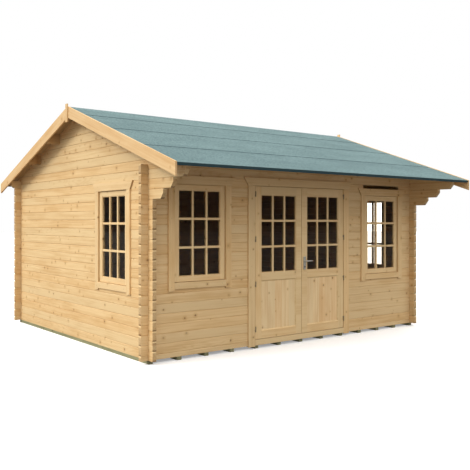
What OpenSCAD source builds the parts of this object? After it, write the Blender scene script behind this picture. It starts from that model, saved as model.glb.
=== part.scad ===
// Interlocking-log garden cabin with a gable roof, double doors and four windows.
// Millimetres, +Z up. x = 0 is the middle of the front, y = 0 the ridge line, z = 0 the ground.
// The front faces -Y. "Base" is the top of the bearers, where the lowest logs start.

/* [Logs] */
// height of one log course
log_h = 114; // [90:1:150]
// log thickness, which is the wall thickness
log_t = 50; // [28:1:70]
// how far log ends stand out past a corner
log_out = 95; // [60:1:150]
// depth and half height of the V joint between two courses
groove = 6; // [3:1:10]
// depth of the bevels that ease the log ends, where they form notches
end_notch = 9; // [3:1:14]
// height of each of those bevels
end_bevel = 8; // [3:1:12]

/* [Walls] */
// outer face to outer face, side wall to side wall
wall_w = 4720; // [3600:10:6000]
// outer face to outer face, front wall to back wall
wall_d = 4060; // [3400:10:5000]

/* [Bearers and floor] */
// bearer height
bearer_h = 42; // [30:1:70]
// bearer width
bearer_w = 58; // [40:1:80]
// number of bearers
bearer_count = 13; // [7:1:17]
// floor board thickness
floor_t = 19; // [16:1:28]

/* [Roof] */
// roof pitch in degrees
roof_pitch = 19.1; // [15:0.1:24]
// front wall outer face back to the ridge line
front_to_ridge = 1745; // [1600:5:2000]
// level distance from the ridge line to either eave
roof_reach = 2622; // [2500:1:3000]
// base to the top of the roof boards at the ridge
ridge_h = 3085; // [2800:5:3400]
// side wall outer face to the bargeboard outer face
gable_reach = 205; // [120:5:400]
// roof board thickness
roof_board_t = 19; // [16:1:28]
// clearance between the roof boards and the timbers that carry them
roof_seat = 0.2; // [0.1:0.1:0.5]
// roofing felt thickness
felt_t = 3; // [2:1:6]
// depth of the felt fold at an eave
felt_drip = 32; // [20:1:60]
// slope distance from the ridge to the lower edge of the ridge strip
felt_lap_a = 490; // [300:5:600]
// slope distance from the ridge to the second visible lap
felt_lap_b = 1243; // [1000:1:1400]
// slope distance from the ridge to the third visible lap
felt_lap_c = 2052; // [1800:1:2200]
// width of the doubled felt at a lap
felt_lap_w = 80; // [50:1:120]

/* [Purlins and bargeboards] */
// purlin width
purlin_w = 50; // [40:1:70]
// purlin depth
purlin_h = 130; // [90:1:180]
// ridge line to the upper purlins
purlin_upper_y = 745; // [500:5:900]
// ridge line to the lower purlins
purlin_lower_y = 1450; // [1200:5:1600]
// bargeboard width, square to its length
barge_w = 148; // [100:1:200]
// bargeboard thickness
barge_t = 22; // [16:1:30]
// finial strip width
finial_w = 56; // [30:1:90]
// finial strip height
finial_h = 242; // [150:1:350]
// finial strip thickness
finial_t = 18; // [12:1:25]
// finial top above the ridge of the boards
finial_up = 41; // [20:1:80]

/* [Corbels] */
// reach of the lowest corbel log from the front face
corbel_a = 320; // [200:5:360]
// reach of the middle corbel log
corbel_b = 525; // [400:5:600]
// reach of the top corbel log
corbel_c = 770; // [650:5:820]
// length of the slanted nose of each corbel log
corbel_nose = 57; // [30:1:80]
// height of that slanted nose
corbel_rise = 68; // [40:1:80]
// reach of the back wall's top log past the side walls
back_log_out = 154; // [100:1:180]

/* [Window units] */
// sash width
sash_w = 744; // [600:1:900]
// sash height
sash_h = 1150; // [900:1:1300]
// sash stile width
sash_stile = 70; // [50:1:90]
// sash rail height
sash_rail = 66; // [50:1:90]
// sash depth
sash_t = 40; // [30:1:50]
// sash front face behind the wall face
sash_set = 4; // [0:1:10]
// window frame thickness around the sash
frame_t = 25; // [20:1:40]
// sill piece under the sash
frame_sill = 35; // [25:1:60]
// head piece over the sash
frame_head = 35; // [25:1:60]
// glass thickness
glass_t = 4; // [3:1:24]
// base to the sash of the front left window
sill_front_left = 863; // [700:1:880]
// base to the sash of the front right window
sill_front_right = 804; // [700:1:880]
// base to the sash of the side wall windows
sill_side = 806; // [700:1:860]
// middle of the front to the middle of each front window
front_window_x = 1645; // [1500:5:1700]
// ridge line to the middle of the side windows, towards the front
side_window_y = 889; // [400:1:1000]

/* [Trim boards] */
// window side trim width
trim_w = 84; // [60:1:120]
// trim board thickness
trim_t = 20; // [14:1:28]
// top trim height
trim_top_h = 103; // [80:1:130]
// how far the top trim widens at each upper corner
trim_flare = 65; // [0:1:90]
// bottom trim height
trim_bottom_h = 76; // [50:1:100]
// how far the side trims hang below the bottom trim
trim_tail = 21; // [0:1:40]
// door side trim width
door_trim_w = 108; // [80:1:130]

/* [Doors] */
// clear width between the door frame's sides
door_clear_w = 1620; // [1400:1:1800]
// thickness of the door frame's sides, and least thickness of its head
door_jamb_t = 30; // [25:1:45]
// width of the door stop behind the leaves
door_stop_w = 12; // [8:1:20]
// door sill height
door_sill_h = 71; // [50:1:90]
// door leaf height
leaf_h = 1948; // [1800:1:2000]
// door leaf thickness
leaf_t = 42; // [35:1:50]
// gap round a leaf, and between the leaves at the front
leaf_gap = 6; // [5:1:9]
// bevel of a leaf's free edge over its thickness
leaf_bevel = 2.5; // [2:0.5:4]
// leaf front face in front of the wall face
leaf_proud = 15; // [0:1:18]
// stile width
leaf_stile = 98; // [80:1:120]
// top rail height
leaf_top_rail = 106; // [80:1:130]
// lock rail height
leaf_lock_rail = 96; // [80:1:140]
// bottom rail height
leaf_bottom_rail = 100; // [80:1:160]
// height of the glazed opening of a leaf
leaf_glass_h = 1002; // [800:1:1100]
// panel thickness
panel_t = 16; // [12:1:24]

/* [Hinges and handle] */
// hinge barrel radius
barrel_r = 6.5; // [5:0.5:9]
// hinge barrel height, both halves
barrel_h = 70; // [50:1:100]
// hinge pin radius
pin_r = 4; // [3:0.5:5]
// base to the middle of the lowest hinge
hinge_first = 205; // [150:1:300]
// spacing of the four hinges of a leaf
hinge_step = 573; // [450:1:590]
// base to the lever
lever_z = 1043; // [950:1:1100]
// lever length from the spindle
lever_len = 120; // [90:1:140]
// handle plate height
plate_h = 175; // [140:1:240]
// handle plate width
plate_w = 42; // [30:1:50]

/* [Hidden] */
base = bearer_h;
half_w = wall_w / 2;
front_y = -front_to_ridge;
back_y = front_y + wall_d;
ridge_z = base + ridge_h;
slope = tan(roof_pitch);
board_drop = roof_board_t / cos(roof_pitch);
apex_under = ridge_z - board_drop - roof_seat;
roof_half_x = half_w + gable_reach - barge_t;
slope_len = roof_reach / cos(roof_pitch);
// highest course: the gables are cut to the roof from one course more
last_row = ceil(ridge_h / log_h) - 1;
wall_top = (last_row + 2) * log_h;
// the top corbel is the highest course that still clears the roof boards at its nose
top_corbel_row = floor((under_z(corbel_c + front_to_ridge) - base - corbel_rise - 20) / log_h);
// the ends of the front and back logs stop at half a course above that corbel's top
corner_rows = top_corbel_row + 1;
corner_top = (corner_rows + 0.5) * log_h;
leaf_z = base + door_sill_h + leaf_gap;
// openings end at the next joint above the door head and the window heads
door_head = leaf_z + leaf_h + leaf_gap - base + door_jamb_t;
front_head = max(door_head, max(sill_front_left, sill_front_right) + sash_h + frame_head);
front_open_top = (ceil(front_head / log_h - 0.5) + 0.5) * log_h;
side_open_top = ceil((sill_side + sash_h + frame_head) / log_h) * log_h;
open_w = sash_w + 2 * frame_t;
door_open_half = door_clear_w / 2 + door_jamb_t;
leaf_w = (door_clear_w - 3 * leaf_gap) / 2;
leaf_y = front_y - leaf_proud;
glass_z = leaf_z + leaf_h - leaf_top_rail - leaf_glass_h;
panel_z = leaf_z + leaf_bottom_rail;
panel_h = glass_z - leaf_lock_rail - panel_z;
hinge_x = door_clear_w / 2 - leaf_gap / 2;
hinge_y = front_y - trim_t - barrel_r - 0.5;
lever_x = leaf_gap / 2 + leaf_stile / 2;
plate_t = 8;
plate_low = 62;
far = 4000;
$fn = 48;

function under_z(y) = apex_under - abs(y) * slope;
// a point on the front slope: s down the slope from the ridge, h square to the boards
function slope_pt(s, h) = [
  -s * cos(roof_pitch) - h * sin(roof_pitch),
  ridge_z - s * sin(roof_pitch) + h * cos(roof_pitch)];
// the same point moved along the slope onto the plumb line of the ridge
function ridge_pt(h) = [0, ridge_z + h / cos(roof_pitch)];

module box(x0, x1, y0, y1, z0, z1)
  translate([x0, y0, z0]) cube([x1 - x0, y1 - y0, z1 - z0]);

// outline in y and z, pushed along x
module along_x(x0, x1, pts)
  translate([x0, 0, 0]) rotate([90, 0, 90]) linear_extrude(x1 - x0) polygon(pts);

// outline in x and z, pushed along y
module along_y(y0, y1, pts)
  translate([0, y1, 0]) rotate([90, 0, 0]) linear_extrude(y1 - y0) polygon(pts);

// log wall outline: a is the outer face, first the height of the lowest joint above base
function joint_heights(first) = [for (i = [0:last_row]) base + first + i * log_h];
function log_outline(a, first) = concat(
  [[a, base]],
  [for (z = joint_heights(first)) each [[a, z - groove], [a + groove, z], [a, z + groove]]],
  [[a, base + wall_top], [a + log_t, base + wall_top]],
  [for (i = [last_row:-1:0]) let (z = joint_heights(first)[i])
    each [[a + log_t, z + groove], [a + log_t - groove, z], [a + log_t, z - groove]]],
  [[a + log_t, base]]);

// outline of a log end at a, notched inwards (inward is 1 or -1) at each height, lowest first
function notched(a, inward, heights) =
  [for (z = heights) each [[a, z - end_bevel], [a + inward * end_notch, z], [a, z + end_bevel]]];
function downwards(points) = [for (i = [len(points) - 1:-1:0]) points[i]];

// front and back wall outline in x and z: log ends stand out up to corner_top
cross_end = half_w + log_out;
cross_joints = [for (i = [0:corner_rows - 1]) base + (i + 0.5) * log_h];
cross_top = base + corner_top;
cross_outline = concat(
  [[-cross_end, base - 1]], notched(-cross_end, 1, cross_joints),
  [[-cross_end, cross_top - end_bevel], [-cross_end + end_notch, cross_top], [-half_w, cross_top],
    [-half_w, far], [half_w, far],
    [half_w, cross_top], [cross_end - end_notch, cross_top], [cross_end, cross_top - end_bevel]],
  downwards(notched(cross_end, -1, cross_joints)), [[cross_end, base - 1]]);

// everything under the roof boards
module under_roof()
  along_x(-far, far, [[-far, -9], [far, -9], [far, under_z(far)], [0, apex_under],
    [-far, under_z(far)]]);

// half-course bands of a corner that belong to the side wall, or to the front and back walls
module side_bands(x0, y0) {
  for (i = [0:corner_rows - 1])
    box(x0, x0 + log_t, y0, y0 + log_t, base + (i + 0.25) * log_h, base + (i + 0.75) * log_h);
  box(x0, x0 + log_t, y0, y0 + log_t, base + (corner_rows + 0.25) * log_h, base + wall_top);
}
module cross_bands(x0, y0) {
  box(x0, x0 + log_t, y0, y0 + log_t, base - 1, base + 0.25 * log_h);
  for (i = [1:corner_rows])
    box(x0, x0 + log_t, y0, y0 + log_t, base + (i - 0.25) * log_h, base + (i + 0.25) * log_h);
}

// ---- bearers and floor ----
module bearers() color([0.62, 0.62, 0.48])
  for (i = [0:bearer_count - 1]) {
    x = -half_w + 2 + i * (wall_w - 4 - bearer_w) / (bearer_count - 1);
    box(x, x + bearer_w, front_y, back_y, 0, bearer_h);
  }

module floor_boards() color([0.85, 0.70, 0.48])
  box(-half_w + log_t, half_w - log_t, front_y + log_t, back_y - log_t, base, base + floor_t);

// ---- walls ----
// a run of the front wall between x0 and x1, cut under the roof and at both corners
module front_run(x0, x1) difference() {
  intersection() {
    along_x(x0, x1, log_outline(front_y, log_h / 2));
    under_roof();
    along_y(-far, far, cross_outline);
  }
  side_bands(-half_w, front_y);
  side_bands(half_w - log_t, front_y);
}

module front_hole(x, sill)
  along_y(front_y - 1, front_y + log_t + 1, [
    [x - open_w / 2, base + sill - frame_sill], [x + open_w / 2, base + sill - frame_sill],
    [x + open_w / 2, base + front_open_top], [x - open_w / 2, base + front_open_top]]);

module front_wall_left() color([0.86, 0.70, 0.47]) difference() {
  front_run(-half_w - log_out, -door_open_half);
  front_hole(-front_window_x, sill_front_left);
}

module front_wall_right() color([0.86, 0.70, 0.47]) difference() {
  front_run(door_open_half, half_w + log_out);
  front_hole(front_window_x, sill_front_right);
}

module front_wall_over_door() color([0.84, 0.68, 0.45]) intersection() {
  front_run(-door_open_half, door_open_half);
  box(-far, far, -far, far, base + front_open_top, far);
}

module back_wall() color([0.86, 0.70, 0.47]) difference() {
  intersection() {
    along_x(-half_w - back_log_out, half_w + back_log_out, log_outline(back_y - log_t, log_h / 2));
    under_roof();
    union() {
      along_y(-far, far, cross_outline);
      along_y(-far, far, [
        [-half_w - back_log_out + 40, base + (corner_rows - 0.5) * log_h],
        [half_w + back_log_out - 40, base + (corner_rows - 0.5) * log_h],
        [half_w + back_log_out, base + (corner_rows - 0.5) * log_h + 40],
        [half_w + back_log_out, base + corner_top], [-half_w - back_log_out, base + corner_top],
        [-half_w - back_log_out, base + (corner_rows - 0.5) * log_h + 40]]);
    }
  }
  side_bands(-half_w, back_y - log_t);
  side_bands(half_w - log_t, back_y - log_t);
}

// side wall outline with the stepped corbels at the front
rear_end = back_y + log_out;
rear_rows = floor((under_z(rear_end) - base - end_bevel) / log_h);
side_outline = concat(
  [[front_y - log_out, base]],
  notched(front_y - log_out, 1, [for (i = [1:top_corbel_row - 3]) base + i * log_h]), [
  [front_y - log_out, base + (top_corbel_row - 2) * log_h],
  [front_y - corbel_a + corbel_nose, base + (top_corbel_row - 2) * log_h],
  [front_y - corbel_a, base + (top_corbel_row - 2) * log_h + corbel_rise],
  [front_y - corbel_a, base + (top_corbel_row - 1) * log_h],
  [front_y - corbel_b + corbel_nose, base + (top_corbel_row - 1) * log_h],
  [front_y - corbel_b, base + (top_corbel_row - 1) * log_h + corbel_rise],
  [front_y - corbel_b, base + top_corbel_row * log_h],
  [front_y - corbel_c + corbel_nose, base + top_corbel_row * log_h],
  [front_y - corbel_c, base + top_corbel_row * log_h + corbel_rise],
  [front_y - corbel_c, under_z(front_y - corbel_c)],
  [0, apex_under],
  [rear_end, under_z(rear_end)]],
  downwards(notched(rear_end, -1, [for (i = [1:rear_rows]) base + i * log_h])),
  [[rear_end, base]]);

module side_wall(x0) difference() {
  intersection() {
    along_y(-far, far, log_outline(x0, log_h));
    along_x(x0 - 1, x0 + log_t + 1, side_outline);
  }
  cross_bands(x0, front_y);
  cross_bands(x0, back_y - log_t);
  box(x0 - 1, x0 + log_t + 1, -side_window_y - open_w / 2, -side_window_y + open_w / 2,
    base + sill_side - frame_sill, base + side_open_top);
  purlin_bars();
  ridge_bar();
}

module left_wall() color([0.93, 0.79, 0.56]) side_wall(-half_w);
module right_wall() color([0.93, 0.79, 0.56]) side_wall(half_w - log_t);

// ---- roof timbers ----
module ridge_bar() along_x(-roof_half_x, roof_half_x, [
  [-purlin_w / 2, under_z(purlin_w / 2) - purlin_h], [purlin_w / 2, under_z(purlin_w / 2) - purlin_h],
  [purlin_w / 2, under_z(purlin_w / 2)], [0, apex_under], [-purlin_w / 2, under_z(purlin_w / 2)]]);

module purlin_bar(y) along_x(-roof_half_x, roof_half_x, [
  [y - purlin_w / 2, under_z(y) - purlin_h], [y + purlin_w / 2, under_z(y) - purlin_h],
  [y + purlin_w / 2, under_z(y + purlin_w / 2)], [y - purlin_w / 2, under_z(y - purlin_w / 2)]]);

module purlin_bars()
  for (y = [-purlin_lower_y, -purlin_upper_y, purlin_upper_y, purlin_lower_y]) purlin_bar(y);

module ridge_purlin() color([0.82, 0.66, 0.44]) ridge_bar();
module purlins() color([0.82, 0.66, 0.44]) purlin_bars();

// a flat layer on the front slope, from h0 to h1 above the board tops, out to slope distance s1
module slope_layer(x0, x1, h0, h1, s1)
  along_x(x0, x1, [ridge_pt(h0), ridge_pt(h1), slope_pt(s1, h1), slope_pt(s1, h0)]);

module roof_boards() slope_layer(-roof_half_x, roof_half_x, -roof_board_t, 0, slope_len);

// felt sheet with a doubled strip at each lap and a fold over the board ends
module felt_sheet() {
  s1 = slope_len + felt_t;
  fold = slope_pt(slope_len, 0);
  along_x(-roof_half_x, roof_half_x, [
    ridge_pt(0), ridge_pt(felt_t),
    slope_pt(felt_lap_b - felt_lap_w, felt_t), slope_pt(felt_lap_b - felt_lap_w, 2 * felt_t),
    slope_pt(felt_lap_b, 2 * felt_t), slope_pt(felt_lap_b, felt_t),
    slope_pt(felt_lap_c - felt_lap_w, felt_t), slope_pt(felt_lap_c - felt_lap_w, 2 * felt_t),
    slope_pt(felt_lap_c, 2 * felt_t), slope_pt(felt_lap_c, felt_t),
    slope_pt(s1, felt_t), slope_pt(s1, -felt_drip), slope_pt(slope_len, -felt_drip), fold]);
}

module roof_boards_front() color([0.80, 0.64, 0.42]) roof_boards();
module roof_boards_back() color([0.80, 0.64, 0.42]) mirror([0, 1, 0]) roof_boards();
module felt_front() color([0.52, 0.66, 0.65]) felt_sheet();
module felt_back() color([0.52, 0.66, 0.65]) mirror([0, 1, 0]) felt_sheet();
module felt_ridge() color([0.52, 0.66, 0.65]) {
  lip = slope_pt(felt_lap_a, felt_t);
  top = slope_pt(felt_lap_a, 2 * felt_t);
  along_x(-roof_half_x, roof_half_x, [
    lip, top, ridge_pt(2 * felt_t), [-top[0], top[1]], [-lip[0], lip[1]], ridge_pt(felt_t)]);
}

// bargeboard of the front slope of the left gable
module bargeboard() {
  end_y = -roof_reach - 8;
  rise = 2 * felt_t + 4;
  along_x(-half_w - gable_reach, -half_w - gable_reach + barge_t, [
    ridge_pt(rise), [end_y, ridge_pt(rise)[1] + end_y * slope],
    [end_y, ridge_pt(rise - barge_w)[1] + end_y * slope], ridge_pt(rise - barge_w)]);
}
module left_bargeboard_front() color([0.92, 0.74, 0.50]) bargeboard();
module left_bargeboard_back() color([0.92, 0.74, 0.50]) mirror([0, 1, 0]) bargeboard();
module right_bargeboard_front() color([0.92, 0.74, 0.50]) mirror([1, 0, 0]) bargeboard();
module right_bargeboard_back() color([0.92, 0.74, 0.50])
  mirror([1, 0, 0]) mirror([0, 1, 0]) bargeboard();

module finials() color([0.90, 0.72, 0.49])
  for (side = [0, 1]) mirror([side, 0, 0])
    box(-half_w - gable_reach - finial_t, -half_w - gable_reach, -finial_w / 2, finial_w / 2,
      ridge_z + finial_up - finial_h, ridge_z + finial_up);

// ---- windows: drawn for a wall whose outer face is y = 0, sash bottom at z = 0 ----
module window_frame() difference() {
  box(-open_w / 2, open_w / 2, 0, log_t, -frame_sill, sash_h + frame_head);
  box(-sash_w / 2, sash_w / 2, -1, log_t + 1, 0, sash_h);
}
module window_sash() difference() {
  box(-sash_w / 2, sash_w / 2, sash_set, sash_set + sash_t, 0, sash_h);
  box(-sash_w / 2 + sash_stile, sash_w / 2 - sash_stile, -1, 99, sash_rail, sash_h - sash_rail);
}
module window_glass()
  box(-sash_w / 2 + sash_stile, sash_w / 2 - sash_stile, sash_set + sash_t / 2 - glass_t / 2,
    sash_set + sash_t / 2 + glass_t / 2, sash_rail, sash_h - sash_rail);
module window_trim() {
  w = sash_w / 2;
  for (side = [0, 1]) mirror([side, 0, 0])
    box(w, w + trim_w, -trim_t, 0, -trim_bottom_h - trim_tail, sash_h);
  box(-w, w, -trim_t, 0, -trim_bottom_h, 0);
  trim_head(w + trim_w, sash_h);
}
// top board with ends that widen upwards
module trim_head(half, z)
  along_y(-trim_t, 0, [[-half, z], [half, z], [half + trim_flare, z + trim_top_h],
    [-half - trim_flare, z + trim_top_h]]);

module on_front() {
  translate([-front_window_x, front_y, base + sill_front_left]) children();
  translate([front_window_x, front_y, base + sill_front_right]) children();
}
module on_sides() {
  translate([-half_w, -side_window_y, base + sill_side]) rotate([0, 0, -90]) children();
  translate([half_w, -side_window_y, base + sill_side]) rotate([0, 0, 90]) children();
}

module front_window_frames() color([0.84, 0.68, 0.46]) on_front() window_frame();
module side_window_frames() color([0.90, 0.76, 0.54]) on_sides() window_frame();
module front_window_sashes() color([0.84, 0.68, 0.46]) on_front() window_sash();
module side_window_sashes() color([0.90, 0.76, 0.54]) on_sides() window_sash();
module front_window_glass() color([0.6, 0.7, 0.75, 0.35]) on_front() window_glass();
module side_window_glass() color([0.6, 0.7, 0.75, 0.35]) on_sides() window_glass();
module front_window_trims() color([0.86, 0.70, 0.48]) on_front() window_trim();
module side_window_trims() color([0.93, 0.79, 0.56]) on_sides() window_trim();

// ---- doors ----
module door_frame() color([0.84, 0.68, 0.46]) {
  c = door_clear_w / 2;
  head = leaf_z + leaf_h + leaf_gap;
  difference() {
    union() {
      box(-door_open_half, door_open_half, front_y, front_y + log_t, base, base + front_open_top);
      box(-c, c, front_y - trim_t - 2, front_y + 1, base, base + door_sill_h);
    }
    box(-c, c, front_y - 99, front_y - leaf_proud + leaf_t + 5, base + door_sill_h, head);
    box(-c + door_stop_w, c - door_stop_w, front_y, front_y + log_t + 1, base + door_sill_h,
      head - door_stop_w);
  }
}

module door_trim() color([0.86, 0.70, 0.48]) {
  c = door_clear_w / 2;
  head = leaf_z + leaf_h + leaf_gap;
  for (side = [0, 1]) mirror([side, 0, 0])
    box(c, c + door_trim_w, front_y - trim_t, front_y, base - 14, head);
  translate([0, front_y, 0]) trim_head(c + door_trim_w, head);
}

// left leaf: hinge edge on the left, free edge bevelled towards the inside
module leaf_blank() translate([-leaf_gap / 2 - leaf_w, leaf_y, leaf_z]) linear_extrude(leaf_h)
  polygon([[0, 0], [leaf_w, 0], [leaf_w - leaf_bevel, leaf_t], [0, leaf_t]]);

module leaf_frame() {
  x0 = -leaf_gap / 2 - leaf_w + leaf_stile;
  x1 = -leaf_gap / 2 - leaf_stile;
  difference() {
    leaf_blank();
    box(x0, x1, leaf_y - 1, leaf_y + leaf_t + 1, glass_z, glass_z + leaf_glass_h);
    box(x0, x1, leaf_y - 1, leaf_y + leaf_t + 1, panel_z, panel_z + panel_h);
  }
}
module leaf_panel()
  box(-leaf_gap / 2 - leaf_w + leaf_stile, -leaf_gap / 2 - leaf_stile,
    leaf_y + leaf_t / 2 - panel_t / 2, leaf_y + leaf_t / 2 + panel_t / 2, panel_z, panel_z + panel_h);
module leaf_glass()
  box(-leaf_gap / 2 - leaf_w + leaf_stile, -leaf_gap / 2 - leaf_stile,
    leaf_y + leaf_t / 2 - glass_t / 2, leaf_y + leaf_t / 2 + glass_t / 2,
    glass_z, glass_z + leaf_glass_h);

module left_leaf() color([0.85, 0.69, 0.46]) leaf_frame();
module left_leaf_panel() color([0.83, 0.66, 0.44]) leaf_panel();
module left_leaf_glass() color([0.6, 0.7, 0.75, 0.35]) leaf_glass();
module right_leaf() color([0.85, 0.69, 0.46]) difference() {
  mirror([1, 0, 0]) leaf_frame();
  translate([lever_x, leaf_y - 1, base + lever_z]) rotate([-90, 0, 0]) cylinder(leaf_t + 2, 8, 8);
}
module right_leaf_panel() color([0.83, 0.66, 0.44]) mirror([1, 0, 0]) leaf_panel();
module right_leaf_glass() color([0.6, 0.7, 0.75, 0.35]) mirror([1, 0, 0]) leaf_glass();

// ---- hinges: barrel in front of the joint, lower half on the trim, upper half on the leaf ----
module lower_barrel(z) translate([-hinge_x, hinge_y, z]) {
  translate([0, 0, -barrel_h / 2]) cylinder(barrel_h / 2 - 1, barrel_r, barrel_r);
  translate([0, 0, -2]) cylinder(barrel_h / 2 - 6, pin_r, pin_r);
  box(-barrel_r - 3, -leaf_gap / 2 - 1, 0, front_y - trim_t - hinge_y, -barrel_h / 2 + 4, -6);
}
module upper_barrel(z) translate([-hinge_x, hinge_y, z]) {
  difference() {
    cylinder(barrel_h / 2, barrel_r, barrel_r);
    translate([0, 0, -1]) cylinder(barrel_h / 2 - 5, pin_r + 0.05, pin_r + 0.05);
  }
  difference() {
    box(leaf_gap / 2 + 1, barrel_r + 3, 0, leaf_y - hinge_y, 5, barrel_h / 2 - 4);
    cylinder(barrel_h, barrel_r - 1, barrel_r - 1);
  }
}
hinge_heights = [for (i = [0:3]) base + hinge_first + i * hinge_step];

module hinge_pins() color([0.45, 0.45, 0.46])
  for (side = [0, 1], z = hinge_heights) mirror([side, 0, 0]) lower_barrel(z);
module left_leaf_knuckles() color([0.45, 0.45, 0.46]) for (z = hinge_heights) upper_barrel(z);
module right_leaf_knuckles() color([0.45, 0.45, 0.46])
  mirror([1, 0, 0]) for (z = hinge_heights) upper_barrel(z);

// ---- handle ----
module handle_plates() color([0.75, 0.75, 0.74])
  for (y = [leaf_y - plate_t, leaf_y + leaf_t])
    difference() {
      box(lever_x - plate_w / 2, lever_x + plate_w / 2, y, y + plate_t,
        base + lever_z + plate_low - plate_h, base + lever_z + plate_low);
      translate([lever_x, y - 1, base + lever_z]) rotate([-90, 0, 0])
        cylinder(plate_t + 2, 8.3, 8.3);
    }

module door_lever() color([0.78, 0.78, 0.77]) translate([lever_x, 0, base + lever_z]) {
  translate([0, leaf_y - 45, 0]) rotate([-90, 0, 0]) cylinder(leaf_t + 90, 6, 6);
  for (y = [leaf_y - 45, leaf_y + leaf_t])
    translate([0, y, 0]) rotate([-90, 0, 0]) cylinder(45, 8, 8);
  for (y = [leaf_y - 52, leaf_y + leaf_t + 38]) box(-10, lever_len, y, y + 14, -10, 10);
}

bearers();
floor_boards();  // floor
front_wall_left();
front_wall_right();
front_wall_over_door();
back_wall();
left_wall();
right_wall();
ridge_purlin();
purlins();
roof_boards_front();
roof_boards_back();
felt_front();
felt_back();
felt_ridge();
left_bargeboard_front();
left_bargeboard_back();
right_bargeboard_front();
right_bargeboard_back();
finials();
front_window_frames();
side_window_frames();
front_window_sashes();
side_window_sashes();
front_window_glass();
side_window_glass();
front_window_trims();
side_window_trims();
door_frame();
door_trim();
left_leaf();
left_leaf_panel();
left_leaf_glass();
right_leaf();
right_leaf_panel();
right_leaf_glass();
hinge_pins();
left_leaf_knuckles();
right_leaf_knuckles();
handle_plates();
door_lever();
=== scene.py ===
import bpy
import bmesh
import math
import random
from mathutils import Matrix, Vector


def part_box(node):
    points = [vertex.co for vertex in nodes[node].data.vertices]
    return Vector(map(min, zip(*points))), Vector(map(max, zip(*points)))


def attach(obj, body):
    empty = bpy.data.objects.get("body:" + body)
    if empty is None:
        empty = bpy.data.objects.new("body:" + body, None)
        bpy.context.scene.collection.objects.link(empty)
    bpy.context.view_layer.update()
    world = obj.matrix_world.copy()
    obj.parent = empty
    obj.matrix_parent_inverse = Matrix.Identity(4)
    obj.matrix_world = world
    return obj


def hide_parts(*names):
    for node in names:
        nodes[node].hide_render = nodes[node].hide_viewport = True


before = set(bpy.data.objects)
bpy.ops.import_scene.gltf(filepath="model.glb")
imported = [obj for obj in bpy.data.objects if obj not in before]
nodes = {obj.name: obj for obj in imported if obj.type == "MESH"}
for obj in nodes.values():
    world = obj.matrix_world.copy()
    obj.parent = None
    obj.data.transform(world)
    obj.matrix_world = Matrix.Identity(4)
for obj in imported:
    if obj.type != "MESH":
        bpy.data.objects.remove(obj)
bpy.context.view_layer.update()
draw = random.Random(11)    # one stream of draws for every board, so each run is the same
print("stage: frame loaded")

xAxis, yAxis, zAxis = Vector((1, 0, 0)), Vector((0, 1, 0)), Vector((0, 0, 1))


# short ways to write shader nodes; feed joins or sets each named input of a node
def feed(tree, node, inputs):
    for key, value in inputs.items():
        if isinstance(value, bpy.types.NodeSocket):
            tree.links.new(value, node.inputs[key])
        else:
            node.inputs[key].default_value = value


def addNode(tree, kind, inputs=None, **settings):
    node = tree.nodes.new(kind)
    for key, value in settings.items():
        setattr(node, key, value)
    feed(tree, node, inputs or {})
    return node


def calc(tree, operation, a, b=0.0, c=0.0, clamp=False):
    node = addNode(tree, "ShaderNodeMath", {0: a, 1: b, 2: c}, operation=operation, use_clamp=clamp)
    return node.outputs[0]


def ramp(tree, value, low, high, toLow=0.0, toHigh=1.0):
    limits = {"Value": value, "From Min": low, "From Max": high, "To Min": toLow, "To Max": toHigh}
    return addNode(tree, "ShaderNodeMapRange", limits, interpolation_type="SMOOTHSTEP").outputs["Result"]


def mixColor(tree, factor, a, b, blend="MIX"):
    node = addNode(tree, "ShaderNodeMix", {0: factor, 6: a, 7: b}, data_type="RGBA", blend_type=blend)
    return node.outputs[2]


def scaled(tree, vector, factors):
    return addNode(tree, "ShaderNodeVectorMath", {0: vector, 1: factors}, operation="MULTIPLY").outputs[0]


def apart(tree, value, kind="XYZ"):
    return addNode(tree, "ShaderNodeSeparate" + kind, {0: value}).outputs


def together(tree, a, b, c, kind="XYZ"):
    return addNode(tree, "ShaderNodeCombine" + kind, {0: a, 1: b, 2: c}).outputs[0]


def noise(tree, vector, scale=1.0, detail=2.0, roughness=0.5):
    inputs = {"Vector": vector, "Scale": scale, "Detail": detail, "Roughness": roughness}
    return addNode(tree, "ShaderNodeTexNoise", inputs).outputs["Fac"]


def bumped(tree, height, strength, distance):
    inputs = {"Height": height, "Strength": strength, "Distance": distance}
    return addNode(tree, "ShaderNodeBump", inputs).outputs[0]


def newGroup(name, inputs, outputs):
    group = bpy.data.node_groups.new(name, "ShaderNodeTree")
    for label, kind, value in inputs:
        socket = group.interface.new_socket(name=label, in_out="INPUT", socket_type="NodeSocket" + kind)
        if value is not None:
            socket.default_value = value
    for label, kind in outputs:
        group.interface.new_socket(name=label, in_out="OUTPUT", socket_type="NodeSocket" + kind)
    return group, group.nodes.new("NodeGroupInput").outputs, group.nodes.new("NodeGroupOutput")


def useGroup(tree, group, inputs):
    return addNode(tree, "ShaderNodeGroup", inputs, node_tree=group).outputs


def newMaterial(name):
    material = bpy.data.materials.new(name)
    material.use_nodes = True
    tree = material.node_tree
    tree.nodes.clear()
    shader = addNode(tree, "ShaderNodeBsdfPrincipled")
    addNode(tree, "ShaderNodeOutputMaterial", {"Surface": shader.outputs[0]})
    return material, tree, shader


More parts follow.
